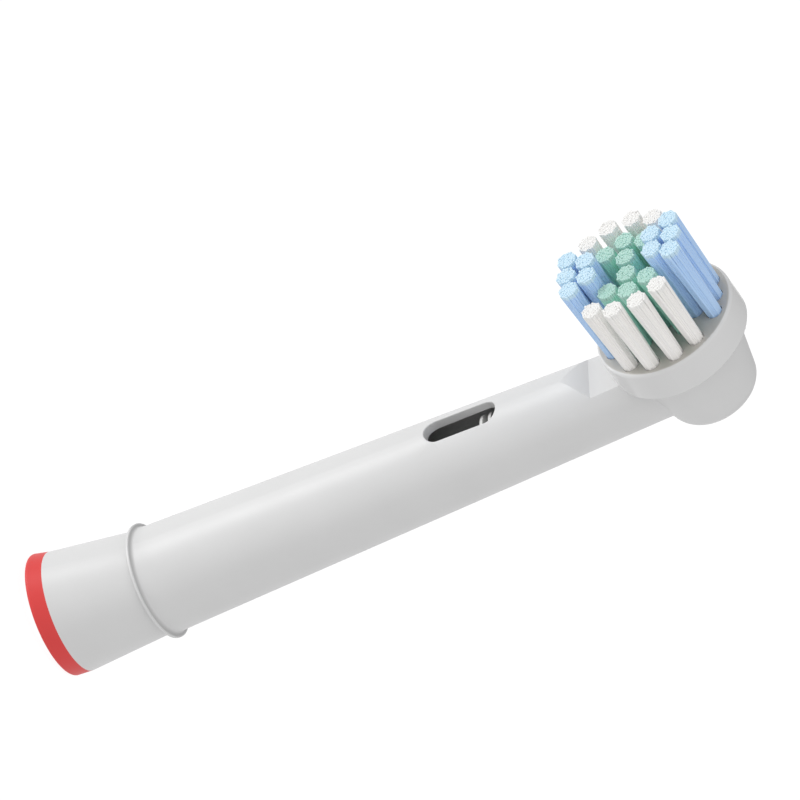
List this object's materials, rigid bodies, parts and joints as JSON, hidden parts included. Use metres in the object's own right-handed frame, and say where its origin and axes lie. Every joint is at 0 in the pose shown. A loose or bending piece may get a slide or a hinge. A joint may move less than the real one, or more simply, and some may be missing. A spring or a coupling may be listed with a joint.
{
  "type": "electric toothbrush head",
  "caption": "Replacement head for an oscillating electric toothbrush: tapered tube on a flared, slanted base, and a round bristle plate that a cranked rod turns to and fro.",
  "frame": {"origin": "where the drive axis meets the slanted base face, in the mouth of the handle socket", "axes": "+Z along the drive axis from the handle to the bristle plate, +X to the bristle side"},
  "size_m": [0.0225, 0.0146, 0.0798],
  "materials": {
    "coral_plastic": "satin",
    "white_plastic": "satin",
    "plate_plastic": "satin",
    "coupling_plastic": "smooth",
    "steel": "drawn",
    "anchor_brass": "plain",
    "blue_nylon": "filaments",
    "white_nylon": "filaments",
    "green_nylon": "filaments"
  },
  "bodies": {
    "housing": {"brush_tube": "white_plastic", "base_sleeve": "white_plastic", "colour_ring": "coral_plastic", "plate_axle": "steel"},
    "drive": {"drive_coupling": "coupling_plastic", "drive_rod": "steel"},
    "plate": {"bristle_plate": "plate_plastic", "tuft_anchors": "anchor_brass", "tuft_blue_01": "blue_nylon", "tuft_blue_02": "blue_nylon", "tuft_blue_03": "blue_nylon", "tuft_blue_04": "blue_nylon", "tuft_blue_05": "blue_nylon", "tuft_blue_06": "blue_nylon", "tuft_blue_07": "blue_nylon", "tuft_blue_08": "blue_nylon", "tuft_blue_09": "blue_nylon", "tuft_blue_10": "blue_nylon", "tuft_white_01": "white_nylon", "tuft_white_02": "white_nylon", "tuft_white_03": "white_nylon", "tuft_white_04": "white_nylon", "tuft_white_05": "white_nylon", "tuft_white_06": "white_nylon", "tuft_white_07": "white_nylon", "tuft_white_08": "white_nylon", "tuft_green_01": "green_nylon", "tuft_green_02": "green_nylon", "tuft_green_03": "green_nylon", "tuft_green_04": "green_nylon", "tuft_green_05": "green_nylon", "tuft_green_06": "green_nylon", "tuft_green_07": "green_nylon", "tuft_green_08": "green_nylon"}
  },
  "joints": [
    {"name": "drive_turn", "type": "hinge", "parent": "housing", "child": "drive", "pos_m": [0, 0, 0.0208], "axis": [0, 0, 1], "range_deg": [-28, 28]},
    {"name": "plate_turn", "type": "hinge", "parent": "housing", "child": "plate", "pos_m": [0.0033, 0, 0.07197], "axis": [1, 0, 0], "range_deg": [-20.6, 20.6]}
  ],
  "couplings": [
    {"joint": "plate_turn", "follows": "drive_turn", "ratio": 0.7348}
  ]
}
